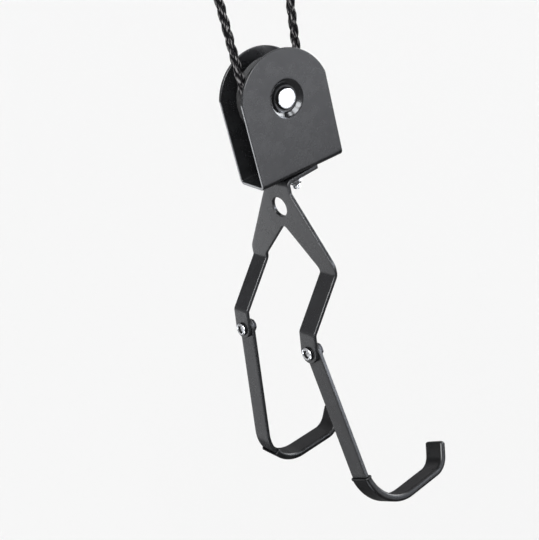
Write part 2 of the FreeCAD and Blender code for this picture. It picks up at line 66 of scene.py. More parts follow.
camera_data = bpy.data.cameras.new("camera")
camera_data.sensor_fit = "HORIZONTAL"
camera_data.sensor_width = 36.0
camera_data.lens = FOCAL_PIXELS / IMAGE_WIDTH * camera_data.sensor_width
camera_data.clip_start = 0.01
camera_data.clip_end = 100.0
camera = bpy.data.objects.new("camera", camera_data)
bpy.context.scene.collection.objects.link(camera)
right, up, back = Vector(CAMERA_RIGHT), -Vector(CAMERA_DOWN), -Vector(CAMERA_AHEAD)
turn = Matrix((right, up, back)).transposed()
camera.matrix_world = Matrix.Translation(CAMERA_PLACE) @ turn.to_4x4()
bpy.context.scene.camera = camera


# --- materials
class Nodes:
    """A node tree with short calls for what is used here."""

    def __init__(self, tree):
        self.tree = tree

    def add(self, kind, **values):
        node = self.tree.nodes.new(kind)
        for key, value in values.items():
            if key in node.inputs:
                node.inputs[key].default_value = value
            else:
                setattr(node, key, value)
        return node

    def link(self, output, target, name=None):
        self.tree.links.new(output, target if name is None else target.inputs[name])

    def feed(self, value, socket):
        """Link an output to a socket, or set the socket to a constant."""
        if isinstance(value, bpy.types.NodeSocket):
            self.link(value, socket)
        else:
            socket.default_value = value

    def remap(self, value, low, high, to_low, to_high, kind="LINEAR"):
        node = self.add("ShaderNodeMapRange", interpolation_type=kind)
        for name, number in zip(("From Min", "From Max", "To Min", "To Max"),
                                (low, high, to_low, to_high)):
            node.inputs[name].default_value = number
        self.link(value, node, "Value")
        return node.outputs["Result"]

    def ramp(self, value, *stops):
        node = self.add("ShaderNodeValToRGB")
        ramp = node.color_ramp
        while len(ramp.elements) < len(stops):
            ramp.elements.new(1.0)
        for element, (place, colour) in zip(ramp.elements, stops):
            element.position = place
            element.color = (*colour, 1.0)
        self.link(value, node, "Fac")
        return node.outputs["Color"]

    def mix(self, factor, a, b):
        node = self.add("ShaderNodeMix", data_type="RGBA")
        for name, value in (("Factor", factor), ("A", a), ("B", b)):
            self.feed(value, node.inputs[name])
        return node.outputs["Result"]


class Look(Nodes):
    """The node tree of a new material."""

    def __init__(self, name):
        self.material = bpy.data.materials.new(name)
        self.material.use_nodes = True
        super().__init__(self.material.node_tree)
        self.shader = self.tree.nodes["Principled BSDF"]
        self.coords = self.add("ShaderNodeTexCoord").outputs["Object"]

    def set(self, **values):
        for key, value in values.items():
            self.shader.inputs[key.replace("_", " ")].default_value = value

    def noise(self, scale, detail=3.0, rough=0.5, coords=None):
        node = self.add("ShaderNodeTexNoise", Scale=scale, Detail=detail, Roughness=rough)
        self.link(coords or self.coords, node, "Vector")
        return node.outputs["Fac"]

    def voronoi(self, scale):
        node = self.add("ShaderNodeTexVoronoi", Scale=scale)
        self.link(self.coords, node, "Vector")
        return node.outputs["Distance"]

    def math(self, operation, a, b):
        node = self.add("ShaderNodeMath", operation=operation)
        self.feed(a, node.inputs[0])
        self.feed(b, node.inputs[1])
        return node.outputs["Value"]

    def bump(self, height, strength, distance, before=None):
        node = self.add("ShaderNodeBump", Strength=strength, Distance=distance)
        self.link(height, node, "Height")
        if before is not None:
            self.link(before, node, "Normal")
        return node.outputs["Normal"]

    def colour(self, output):
        self.link(output, self.shader, "Base Color")

    def roughness(self, output):
        self.link(output, self.shader, "Roughness")

    def normal(self, output):
        self.link(output, self.shader, "Normal")


def grey(value, tint=0.0):
    """A neutral colour, a little towards blue where tint is above zero."""
    return (value * (1 - tint), value, value * (1 + 2 * tint))


def powder_coat(name, gloss, smoothest=0.21, roughest=0.35):
    m = Look(name)
    cloud = m.noise(60.0, 4.0)
    speck = m.noise(2600.0, 2.0)
    shade = m.math("ADD", m.math("MULTIPLY", cloud, 0.7), m.math("MULTIPLY", speck, 0.3))
    m.colour(m.ramp(shade, (0.30, grey(0.007, 0.04)), (0.55, grey(0.010, 0.04)),
                    (0.75, grey(0.016, 0.04))))
    m.roughness(m.remap(m.noise(90.0, 5.0, 0.65), 0.3, 0.7, smoothest, roughest))
    grain = m.bump(m.noise(1300.0, 3.0), 0.45, 0.00006)
    m.normal(m.bump(m.noise(260.0, 3.0), 0.20, 0.0002, grain))
    m.set(Specular_IOR_Level=gloss)
    return m.material


def zinc(name, low, high):
    m = Look(name)
    cells = m.voronoi(900.0)
    cloud = m.noise(350.0, 4.0)
    shade = m.math("ADD", m.math("MULTIPLY", cells, 0.4), m.math("MULTIPLY", cloud, 0.7))
    m.colour(m.ramp(shade, (0.2, low), (0.7, high)))
    m.roughness(m.remap(m.noise(500.0, 3.0), 0.3, 0.7, 0.20, 0.36))
    m.normal(m.bump(m.noise(1200.0, 3.0), 0.25, 0.00005))
    m.set(Metallic=1.0)
    return m.material


def rubber():
    m = Look("sleeve_rubber")
    m.colour(m.ramp(m.noise(120.0, 4.0), (0.3, grey(0.003, 0.02)), (0.7, grey(0.007, 0.02))))
    m.roughness(m.remap(m.noise(90.0, 4.0), 0.3, 0.7, 0.24, 0.36))
    soft = m.bump(m.noise(180.0, 2.0), 0.12, 0.0004)
    m.normal(m.bump(m.noise(3200.0, 2.0), 0.25, 0.00004, soft))
    m.set(Specular_IOR_Level=0.36)
    return m.material


def rope_fibre():
    """Black yarn, with painted highlights: pale glints along the crown of each strand."""
    m = Look("rope_fibre")
    yarn_place = m.add("ShaderNodeAttribute", attribute_name="yarn").outputs["Vector"]
    across = m.add("ShaderNodeSeparateXYZ")
    m.link(yarn_place, across, "Vector")
    crown = m.remap(m.math("ABSOLUTE", across.outputs["Z"], 0.0), 0.25, 0.78, 1.0, 0.0)

    def stretched(*scale):
        mapping = m.add("ShaderNodeMapping")
        mapping.inputs["Scale"].default_value = scale
        m.link(yarn_place, mapping, "Vector")
        return mapping.outputs["Vector"]

    yarn = m.noise(1.3, 3.0, 0.6, stretched(1.0, 26.0, 1.0))
    # painted highlight: pale glints where the noise peaks, kept to each strand's crown and mixed
    # into the base colour below
    painted_glint = m.remap(m.noise(1.7, 1.0, 0.5, stretched(0.7, 3.6, 0.3)), 0.50, 0.60, 0.0, 1.0)
    dark = m.ramp(yarn, (0.35, (0.002, 0.002, 0.0025)), (0.70, (0.010, 0.0095, 0.011)))
    light = m.ramp(yarn, (0.3, (0.16, 0.155, 0.16)), (0.8, (0.50, 0.49, 0.49)))
    m.colour(m.mix(m.math("MULTIPLY", crown, painted_glint), dark, light))
    m.roughness(m.remap(yarn, 0.3, 0.7, 0.55, 0.8))
    m.normal(m.bump(yarn, 0.8, 0.0004))
    m.set(Specular_IOR_Level=0.05)
    return m.material


def nylon(name, low, high, gloss=0.5):
    m = Look(name)
    m.colour(m.ramp(m.noise(150.0, 4.0), (0.3, low), (0.7, high)))
    m.roughness(m.remap(m.noise(300.0, 3.0), 0.3, 0.7, 0.42, 0.58))
    m.normal(m.bump(m.noise(1400.0, 3.0), 0.3, 0.00006))
    m.set(Specular_IOR_Level=gloss)
    return m.material


def bronze():
    m = Look("sintered_bronze")
    pits = m.voronoi(3500.0)
    m.colour(m.ramp(pits, (0.1, (0.20, 0.12, 0.05)), (0.5, (0.52, 0.36, 0.19))))
    m.roughness(m.remap(m.noise(800.0, 3.0), 0.3, 0.7, 0.35, 0.55))
    m.normal(m.bump(pits, 0.4, 0.00006))
    m.set(Metallic=1.0)
    return m.material


COAT, BAR_COAT = powder_coat("black_powder_coat", 0.75), powder_coat("satin_bar_coat", 0.56)
PRESSED_COAT = powder_coat("pressed_coat", 1.0, 0.10, 0.18)  # drawn smooth in the dimples
RUBBER, ROPE, BRONZE = rubber(), rope_fibre(), bronze()
ZINC = zinc("bright_zinc", (0.60, 0.61, 0.62), (0.86, 0.87, 0.88))
BLACK_ZINC = zinc("black_zinc", (0.014, 0.014, 0.016), (0.050, 0.050, 0.054))
# painted shadow: a near-black matte colour for the shaded ring round the axle's end and for the
# pivot screws' sockets and rims
SHADOW_BLACK = nylon("painted_shadow_black", grey(0.003), grey(0.006), 0.08)
BLACK_NYLON = nylon("black_nylon", grey(0.018), grey(0.034))
WHITE_NYLON = nylon("white_nylon", (0.62, 0.61, 0.57), (0.76, 0.75, 0.71))


# --- mesh tools
FLAT_WEIGHT = 80  # how strongly large faces pull the shading normals flat
GRID_GAP = 0.45  # how far the inner grid points of a plate stay from its rims


def make(name, points, faces, body, slot, material, stands_for=(), place=None, flat_tops=True):
    """A smooth mesh from points in millimetres. place is where they stand in metres, a matrix."""
    matrix = (place or Matrix.Identity(4)) @ Matrix.Diagonal((MM, MM, MM, 1.0))
    mesh = bpy.data.meshes.new(name)
    mesh.from_pydata([matrix @ Vector(p) for p in points], [], faces)
    mesh.validate()
    bm = bmesh.new()
    bm.from_mesh(mesh)
    bmesh.ops.recalc_face_normals(bm, faces=bm.faces)
    bm.to_mesh(mesh)
    bm.free()
    mesh.shade_smooth()
    mesh.materials.append(material)
    piece = bpy.data.objects.new(name, mesh)
    bpy.context.scene.collection.objects.link(piece)
    if flat_tops:
        modifier = piece.modifiers.new("flat faces", "WEIGHTED_NORMAL")
        modifier.weight = FLAT_WEIGHT
    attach(piece, body)
    if stands_for:
        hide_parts(*stands_for)
    return piece


def second_material(piece, place, material, chosen):
    """Give a second material to the faces picked by their place along and distance from local X."""
    piece.data.materials.append(material)
    to_local = place.inverted()
    for polygon in piece.data.polygons:
        here = to_local @ polygon.center / MM
        if chosen(here.x, math.hypot(here.y, here.z)):
            polygon.material_index = 1


def grid_faces(rows, columns, close_rows=False, start=0):
    """Quads between neighbouring rows of points, each row a closed ring."""
    faces = []
    for r in range(rows if close_rows else rows - 1):
        for c in range(columns):
            r2, c2 = (r + 1) % rows, (c + 1) % columns
            faces.append((start + r * columns + c, start + r * columns + c2,
                          start + r2 * columns + c2, start + r2 * columns + c))
    return faces


class Profile:
    """Straight runs joined by tangent arcs, and where a distance s along them lies."""

    def __init__(self, points, radii):
        self.parts = []  # (start s, length, start point, heading, curvature)
        s, start = 0.0, Vector(points[0])
        for before, corner, after, radius in zip(points, points[1:], points[2:], radii):
            a = (Vector(corner) - Vector(before)).normalized()
            b = (Vector(after) - Vector(corner)).normalized()
            bend = math.atan2(a.x * b.y - a.y * b.x, a.dot(b))
            reach = radius * math.tan(abs(bend) / 2)
            first = Vector(corner) - a * reach
            heading = math.atan2(a.y, a.x)
            run = (first - start).length
            self.parts.append((s, run, start, heading, 0.0))
            s += run
            arc = radius * abs(bend)
            self.parts.append((s, arc, first, heading, math.copysign(1 / radius, bend)))
            s += arc
            start = Vector(corner) + b * reach
        last = Vector(points[-1]) - start
        self.parts.append((s, last.length, start, math.atan2(last.y, last.x), 0.0))
        self.length = s + last.length

    def at(self, s):
        """The point at s and the unit normal to its left."""
        for start, length, point, heading, curve in self.parts:
            if s <= start + length:
                break
        ds = s - start
        if curve == 0.0:
            place = point + Vector((math.cos(heading), math.sin(heading))) * ds
        else:
            angle = heading + curve * ds
            place = point + Vector(((math.sin(angle) - math.sin(heading)) / curve,
                                    (math.cos(heading) - math.cos(angle)) / curve))
            heading = angle
        return place, Vector((-math.sin(heading), math.cos(heading)))

    def steps(self, flat_step, bend_angle):
        """Distances that cut the bends finely and the runs coarsely."""
        found = [0.0]
        for start, length, _, _, curve in self.parts:
            step = flat_step if curve == 0.0 else min(flat_step, bend_angle / abs(curve))
            count = max(1, math.ceil(length / step))
            found += [start + length * k / count for k in range(1, count + 1)]
        return found

    def where(self, value):
        """The first s at which the profile's height reaches value."""
        steps = self.steps(0.5, 0.05)
        for a, b in zip(steps, steps[1:]):
            at_a, at_b = self.at(a)[0].y, self.at(b)[0].y
            if (at_a - value) * (at_b - value) <= 0 and at_a != at_b:
                return a + (b - a) * (value - at_a) / (at_b - at_a)
        raise ValueError(value)


def rounded(points, radii, step=1.0):
    """Closed outline with rounded corners, sampled evenly."""
    outline = []
    count = len(points)
    for k in range(count):
        corner, radius = Vector(points[k]), radii[k]
        a = (corner - Vector(points[k - 1])).normalized()
        b = (Vector(points[(k + 1) % count]) - corner).normalized()
        bend = math.atan2(a.x * b.y - a.y * b.x, a.dot(b))
        reach = radius * math.tan(abs(bend) / 2)
        if radius < 1e-6 or abs(bend) < 1e-4:
            outline.append(corner)
            continue
        first = corner - a * reach
        side = Vector((-a.y, a.x)) * math.copysign(1, bend)
        centre = first + side * radius
        steps = max(3, math.ceil(abs(bend) / 0.2))
        for j in range(steps + 1):
            spin = Matrix.Rotation(bend * j / steps, 2)
            outline.append(centre + spin @ (first - centre))
    return resampled(outline, step)


def resampled(outline, step):
    """Adds points to a closed outline so that no edge is longer than step."""
    dense = []
    for a, b in zip(outline, outline[1:] + outline[:1]):
        length = (b - a).length
        if length < 1e-6:
            continue
        count = max(1, math.ceil(length / step))
        dense += [a.lerp(b, k / count) for k in range(count)]
    return dense


def circle(centre, radius, count):
    return [Vector(centre) + Vector((math.cos(TAU * k / count), math.sin(TAU * k / count))) * radius
            for k in range(count)]


def area_of(outline):
    return 0.5 * sum(a.x * b.y - a.y * b.x for a, b in zip(outline, outline[1:] + outline[:1]))


def inset_loop(loop, amount, hole):
    """The loop moved into the metal by amount: inwards for an outline, outwards for a hole."""
    if (area_of(loop) > 0) == hole:
        loop = loop[::-1]
    moved = []
    for before, here, after in zip(loop[-1:] + loop[:-1], loop, loop[1:] + loop[:1]):
        a, b = (here - before).normalized(), (after - here).normalized()
        n = Vector((-a.y, a.x)) + Vector((-b.y, b.x))
        moved.append(here + n * (2 * amount / max(n.length_squared, 1e-9)))
    return moved


def inside(points, loop):
    """Which of the points (N x 2) lie inside a closed loop."""
    ring = np.array([p[:] for p in loop])
    nxt = np.roll(ring, -1, axis=0)
    x, y = points[:, :1], points[:, 1:]
    crosses = (ring[:, 1] > y) != (nxt[:, 1] > y)
    rise = np.where(nxt[:, 1] == ring[:, 1], 1e-12, nxt[:, 1] - ring[:, 1])
    at = ring[:, 0] + (y - ring[:, 1]) / rise * (nxt[:, 0] - ring[:, 0])
    return (crosses & (x < at)).sum(1) % 2 == 1


def in_metal(points, rims):
    """Which of the points (N x 2) lie inside the first rim and outside the others."""
    keep = inside(points, rims[0])
    for rim in rims[1:]:
        keep &= ~inside(points, rim)
    return keep


def plate_mesh(outline, holes, thick, edge, s_steps, w_step, extra, keep_off):
    """Flat plate as (s, w, depth) points and faces, with rounded edges round every loop."""
    loops = [(inset_loop(outline, 0.0, False), False)]
    loops += [(inset_loop(hole, 0.0, True), True) for hole in holes]
    rims = [inset_loop(loop, edge, hole) for loop, hole in loops]
    low_w = min(p.y for p in outline)
    high_w = max(p.y for p in outline)
    w_count = max(2, math.ceil((high_w - low_w) / w_step))
    grid = np.array([(s, low_w + (high_w - low_w) * k / w_count)
                     for s in s_steps for k in range(w_count + 1)])
    for centre, radius in keep_off:
        grid = grid[np.hypot(grid[:, 0] - centre[0], grid[:, 1] - centre[1]) > radius]
    if len(extra):
        grid = np.vstack([grid, np.array(extra)])
    keep = in_metal(grid, rims)
    rim_points = np.array([p[:] for rim in rims for p in rim])
    gap = np.sqrt(((grid[:, None, :] - rim_points[None]) ** 2).sum(2)).min(1)
    grid = grid[keep & (gap > GRID_GAP)]
    flat = [Vector(p) for rim in rims for p in rim] + [Vector(p) for p in grid]
    edges, start = [], 0
    for rim in rims:
        count = len(rim)
        edges += [(start + k, start + (k + 1) % count) for k in range(count)]
        start += count
    points, _, triangles, origin, _, _ = delaunay_2d_cdt(flat, edges, [], 0, 1e-7)
    number = {}
    for new, olds in enumerate(origin):
        for old in olds:
            number[old] = new
    middles = np.array([sum((points[i] for i in t), Vector((0, 0)))[:] for t in triangles]) / 3
    triangles = [t for t, kept in zip(triangles, in_metal(middles, rims)) if kept]
    used = sorted({i for t in triangles for i in t})
    slot = {old: new for new, old in enumerate(used)}
    front = [(points[i].x, points[i].y, 0.0) for i in used]
    solid = front + [(s, w, thick) for s, w, _ in front]
    count = len(front)
    faces = [tuple(slot[i] for i in t) for t in triangles]
    faces += [tuple(count + slot[i] for i in reversed(t)) for t in triangles]
    first = 0
    for (loop, hole), rim in zip(loops, rims):
        n = len(rim)
        near = [slot[number[first + k]] for k in range(n)]
        first += n
        ring = near
        depths = [(edge * (1 - math.sin(a)), edge * (1 - math.cos(a)))
                  for a in (math.radians(30), math.radians(60), math.radians(90))]
        rounds = depths + [(i, thick - d) for i, d in reversed(depths)]
        for amount, depth in rounds:
            moved = inset_loop(loop, amount, hole)
            new = list(range(len(solid), len(solid) + n))
            solid += [(p.x, p.y, depth) for p in moved]
            faces += [(ring[k], ring[(k + 1) % n], new[(k + 1) % n], new[k]) for k in range(n)]
            ring = new
        far = [count + k for k in near]
        faces += [(ring[k], ring[(k + 1) % n], far[(k + 1) % n], far[k]) for k in range(n)]
    return solid, faces


def bent_plate(name, profile, plane, outline, holes, thick, edge, body, material, place,
               stands_for, w_step=3.0, flat_step=2.5, extra=(), keep_off=(), relief=None):
    """Sheet metal: a flat outline in (s, w) laid along a profile, with optional relief."""
    steps = profile.steps(flat_step, math.radians(9))
    solid, faces = plate_mesh(outline, holes, thick, edge, steps, w_step, extra, keep_off)
    points = []
    for s, w, depth in solid:
        point, normal = profile.at(s)
        if relief is not None:
            depth += relief(s, w)
        point = point + normal * depth
        points.append(plane(point.x, point.y, w))
    return make(name, points, faces, body, "black_steel", material, stands_for, place)


def xz_plane(u, v, w):
    return (u, w, v)


def yz_plane(u, v, w):
    return (w, u, v)


def lathe(rings, sides=48, close=True):
    """Points and faces of (along, radius) rings about X. A third value caps a ring to a hexagon."""
    points = []
    for along, radius, *hexagon in rings:
        for k in range(sides):
            angle = TAU * k / sides
            r = radius
            if hexagon:
                within = (angle % (math.pi / 3)) - math.pi / 6
                r = min(r, hexagon[0] * math.cos(math.pi / 6) / math.cos(within))
            points.append((along, r * math.cos(angle), r * math.sin(angle)))
    faces = grid_faces(len(rings), sides)
    if close:
        faces.append(tuple(reversed(range(sides))))
        faces.append(tuple(range(len(points) - sides, len(points))))
    return points, faces


def fillet(corners, radius, steps=3):
    """(along, radius) corners with each inner one rounded by the same small amount."""
    path = [corners[0]]
    for before, corner, after in zip(corners, corners[1:], corners[2:]):
        corner = Vector(corner)
        a, b = Vector(before) - corner, Vector(after) - corner
        r = min(radius, 0.45 * a.length, 0.45 * b.length)
        first, last = corner + a.normalized() * r, corner + b.normalized() * r
        for k in range(steps + 1):
            t = k / steps
            path.append(((1 - t) ** 2 * first + 2 * t * (1 - t) * corner + t ** 2 * last)[:])
    return path + [corners[-1]]


def turned_piece(name, corners, radius, body, slot, material, place, stands_for):
    """A lathe piece whose (along, radius) outline closes on itself, as a ring does."""
    sides = 64
    rings = fillet(corners + corners[:1], radius)[:-1]
    points, _ = lathe(rings, sides, close=False)
    faces = grid_faces(len(rings), sides, close_rows=True)
    make(name, points, faces, body, slot, material, stands_for, place)


THREAD_R = 2.98
SCREW_SIDES = 60
M6_BORE_R, M6_WASHER_R = 3.02, 6.0


def button_screw(length, thread_from):
    """Points and faces of an M6 socket button-head screw along X, its head's seat at 0."""
    head_r, head_h, crown_r, rim_h = 5.25, 2.4, 3.8, 0.9
    socket_r, socket_depth = 2.5, 1.7
    corner = 2 * socket_r / math.sqrt(3)
    wide = 1e3  # so that the hexagon alone sets the radius
    rings = [(-head_h + socket_depth + 0.5, 0.02), (-head_h + socket_depth, 1.9),
             (-head_h + socket_depth - 0.05, wide, corner - 0.03), (-head_h + 0.55, wide, corner),
             (-head_h + 0.45, socket_r + 0.42), (-head_h + 0.08, 3.35), (-head_h, 3.55),
             (-head_h - 0.02, crown_r)]
    dome = math.radians(58)
    for angle in (52, 44, 36, 28, 20, 12, 5):
        a = math.radians(angle)
        rings.append((-rim_h - (head_h - rim_h) * math.sin(a) / math.sin(dome),
                      head_r - (head_r - crown_r) * (1 - math.cos(a)) / (1 - math.cos(dome))))
    rings += [(-0.7, head_r), (-0.25, head_r), (-0.05, head_r - 0.15), (0.0, head_r - 0.4),
              (0.0, 3.1), (0.12, THREAD_R), (thread_from, THREAD_R)]
    points, faces = lathe(rings, SCREW_SIDES, close=False)
    faces.append(tuple(range(SCREW_SIDES)))
    pitch, depth, per_turn, tip = 1.0, 0.3, 8, 0.9
    count = int((length - thread_from) * per_turn / pitch)
    start = len(points) - SCREW_SIDES
    for k in range(1, count + 1):
        along = thread_from + k * pitch / per_turn
        for j in range(SCREW_SIDES):
            angle = TAU * j / SCREW_SIDES
            phase = (along / pitch - j / SCREW_SIDES) % 1.0
            r = THREAD_R - depth * 2 * abs(phase - 0.5) * min(1.0, k / per_turn)
            r -= max(0.0, along - (length - tip)) * 0.8
            points.append((along, r * math.cos(angle), r * math.sin(angle)))
    faces += grid_faces(count + 1, SCREW_SIDES, start=start)
    faces.append(tuple(range(len(points) - SCREW_SIDES, len(points))))
    return points, faces


def lock_nut(start, height):
    """Points and faces of an M6 lock nut along X from start, with its round collar."""
    corner = 10.0 / math.sqrt(3)
    end, body_end = start + height, start + 0.75 * height
    rings = [(start, 3.05), (start, 4.9)]
    rings += [(start + 0.1 * k, 4.95 + 0.22 * k, corner) for k in range(1, 5)]
    rings += [(body_end - 0.1 * k, 4.95 + 0.22 * k, corner) for k in range(4, 0, -1)]
    rings += [(body_end, 4.75), (body_end + 0.15, 4.35), (end - 0.35, 4.25), (end - 0.08, 4.05),
              (end, 3.7), (end - 0.08, 3.3), (end - 0.35, 3.05)]
    points, _ = lathe(rings, SCREW_SIDES, close=False)
    return points, grid_faces(len(rings), SCREW_SIDES, close_rows=True)


def washer(name, low, high, body, slot, material, place, stands_for, inner=M6_BORE_R,
           outer=M6_WASHER_R):
    corners = [((low + high) / 2, inner), (low, inner), (low, outer), (high, outer), (high, inner)]
    turned_piece(name, corners, 0.15, body, slot, material, place, stands_for)


# --- places
joints = {j["name"]: j for j in frame["joints"]}
axle_low, axle_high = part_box("axle_rivet")
BLOCK = Matrix.Translation((axle_low + axle_high) / 2)
SWIVEL_REST = 8.2
FORK = BLOCK @ Matrix.Rotation(math.radians(SWIVEL_REST), 4, "Z")
TAB_LEAN = 10.0
SWING_REST = {"left": -1.6, "right": -23.0}
SIDES = ("left", "right")


def tab_place(side):
    at = Matrix.Translation(joints[side + "_hook_swing"]["pos_m"])
    swivel = Matrix.Rotation(math.radians(SWIVEL_REST), 4, "Z")
    return at @ swivel @ Matrix.Rotation(math.radians(TAB_LEAN), 4, "Y")


def hook_place(side):
    return tab_place(side) @ Matrix.Rotation(math.radians(SWING_REST[side]), 4, "X")


# --- rope
ROPE_CROWN_R = 3.3  # over the crowns of the strands, which flatten in the groove
LAY_LENGTH = 30.0  # one full turn of a strand
STRANDS = 3
YARNS = 7  # ridges round the rope, before the strands cut them up
ROPE_STEP = 0.45
ROPE_SIDES = 66
KNOT_ROPE_R, KNOT_CORE_R = 2.75, 2.9  # pulled tight in the knot
ROPE_ROUTE = [
    (-0.0297, -0.0253),
    (-0.02876, -0.0920),
    (-0.0282, -0.13247),
    (-0.01994, -0.14413),
    (-0.00652, -0.14905),
    (0.00733, -0.14551),
    (0.01673, -0.13474),
    (0.02167, -0.0920),
    (0.02939, -0.0253),
]


def spline_points(name, route, resolution):
    """Points along the NURBS spline of a route, in metres."""
    curve = bpy.data.curves.new(name, "CURVE")
    curve.dimensions = "3D"
    curve.resolution_u = resolution
    spline = curve.splines.new("NURBS")
    spline.points.add(len(route) - 1)
    for point, place in zip(spline.points, route):
        point.co = (*place, 1.0)
    spline.order_u = 3
    spline.use_endpoint_u = True
    carrier = bpy.data.objects.new(name, curve)
    bpy.context.scene.collection.objects.link(carrier)
    mesh = bpy.data.meshes.new_from_object(carrier)
    points = [v.co.copy() for v in mesh.vertices]
    bpy.data.objects.remove(carrier)
    return points


def even(points, step):
    """The same line with its points a step apart."""
    lengths = [0.0]
    for a, b in zip(points, points[1:]):
        lengths.append(lengths[-1] + (b - a).length)
    count = max(2, round(lengths[-1] / step))
    targets = np.linspace(0, lengths[-1], count + 1)
    columns = [np.interp(targets, lengths, [p[k] for p in points]) for k in range(3)]
    return [Vector(p) for p in zip(*columns)], targets


def carried_frames(line, first_side):
    """A side and an up vector at each point, carried along the line without twist."""
    frames = []
    side = first_side
    for k, point in enumerate(line):
        ahead = (line[min(k + 1, len(line) - 1)] - line[max(k - 1, 0)]).normalized()
        side = (side - ahead * side.dot(ahead)).normalized()
        frames.append((side, ahead.cross(side)))
    return frames


def laid_radius(angle, radius):
    """Outline of three round strands laid together, at an angle from a strand's crown."""
    strand_r = radius * 0.50
    offset = radius - strand_r
    within = (angle + math.pi / STRANDS) % (TAU / STRANDS) - math.pi / STRANDS
    reach = offset * math.cos(within)
    return reach + math.sqrt(max(strand_r ** 2 - (offset * math.sin(within)) ** 2, 0.0)), within


def rope_mesh(name, line_points, radius, squeeze=lambda run: 1.0):
    """A laid rope along a line in metres: three twisted strands, each with its own yarns."""
    line, lengths = even(line_points, ROPE_STEP * MM)
    points, yarn = [], []
    for place, (side, across), run in zip(line, carried_frames(line, Vector((0, 1, 0))), lengths):
        turn = -TAU * run / (LAY_LENGTH * MM)
        for k in range(ROPE_SIDES):
            angle = TAU * k / ROPE_SIDES
            r, within = laid_radius(angle, radius * squeeze(run))
            strand = int((angle + math.pi / STRANDS) // (TAU / STRANDS)) % STRANDS
            groove = (within + turn) * 2.1 + strand * 0.7  # yarns run along the rope
            r *= 1 - 0.016 * (1 - math.cos(groove * YARNS))
            spun = angle + turn
            points.append(place + (side * math.cos(spun) + across * math.sin(spun)) * r * MM)
            yarn.append((run * 180 + strand * 7.3, (groove * YARNS / TAU + strand * 0.37) * 0.25,
                         within * STRANDS / math.pi))
    faces = grid_faces(len(line), ROPE_SIDES)
    faces.append(tuple(reversed(range(ROPE_SIDES))))
    faces.append(tuple(range(len(points) - ROPE_SIDES, len(points))))
    piece = make(name, [p / MM for p in points], faces, "hanger", "rope", ROPE, flat_tops=False)
    attribute = piece.data.attributes.new("yarn", "FLOAT_VECTOR", "POINT")
    attribute.data.foreach_set("vector", np.array(yarn, dtype=np.float32).ravel())
    return piece, line


rope_line = spline_points("rope_route", [(x, 0.0, z) for x, z in ROPE_ROUTE], 40)
rope, rope_path = rope_mesh("laid_rope", rope_line, ROPE_CROWN_R)
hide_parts("pulley_rope")


def knot_route(foot):
    """A coil that widens from the standing part and climbs round it."""
    wraps, wrap_r, rise, low, count = 2.4, 4.6, 5.4 * 0.72, 2.9, 34
    points = []
    for k in range(count + 1):
        t = k / count
        angle = TAU * wraps * t
        r = wrap_r * min(1.0, 0.25 + 3.0 * t)
        place = Vector((r * math.cos(angle), r * math.sin(angle), low + rise * wraps * t))
        points.append(foot + place * MM)
    return points


def stopper_knot(name, foot, node):
    """A barrel knot: rope wound round its own standing part, its cut end standing on top."""
    tucked = 0.006  # the first stretch is drawn thin into the knot
    piece, _ = rope_mesh(name, knot_route(foot), KNOT_ROPE_R,
                         lambda run: 1.0 - 0.25 * max(0.0, 1 - run / tucked))
    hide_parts(node)
    core_line = [foot + Vector((0, 0, z * MM)) for z in (-1.0, 4.0, 9.0, 14.2)]
    core, _ = rope_mesh(name + "_core", core_line, KNOT_CORE_R)
    return piece, core


knots = []
for knot_name, node, end in (("left_stopper_knot", "left_rope_knot", ROPE_ROUTE[0]),
                             ("right_stopper_knot", "right_rope_knot", ROPE_ROUTE[-1])):
    knots += stopper_knot(knot_name, Vector((end[0], 0.0, end[1])), node)


# --- pulley block
YOKE_WIDTH, YOKE_DEPTH, YOKE_THICK = 71.4, 31.5, 2.5
ARCH_R, ARCH_Z, BASE_Z, YOKE_BEND_R, SWIVEL_HOLE_R = 37.2, -3.0, -55.5, 4.0, 3.2
DIMPLE_MOUTH, DIMPLE_FLOOR, DIMPLE_DEPTH, AXLE_R = 13.4, 9.4, 2.6, 5.0
DIMPLE_RINGS = (6.4, 8.0, 8.9, 9.5, 10.1, 10.8, 11.5, 12.2, 12.9, 13.5, 14.1, 15.0, 16.5)
DISC_R, FLANGE_R = 7.1, 8.0  # the axle's bright end, and the low flange round it, coloured near-black as a painted shadow ring
HUB_HALF, BUSH_R, HUB_R = 9.0, 7.0, 10.5
PITCH_R, GROOVE_R, WHEEL_R, GROOVE_HALF = 23.0, 3.3, 28.0, 5.1
AXLE_BORE_R, AXLE_WASHER_R, AXLE_WASHER_THICK = 5.05, 9.0, 1.2
ALONG_AXLE = BLOCK @ Matrix.Rotation(math.radians(90), 4, "Z")


def cone(r):
    """Depth of the dimple at radius r: a straight wall with a small rounding at each end."""
    shifts = (-0.6, -0.3, 0.0, 0.3, 0.6)
    shares = [(r + shift - DIMPLE_FLOOR) / (DIMPLE_MOUTH - DIMPLE_FLOOR) for shift in shifts]
    return DIMPLE_DEPTH * sum(1 - min(1.0, max(0.0, share)) for share in shares) / len(shifts)


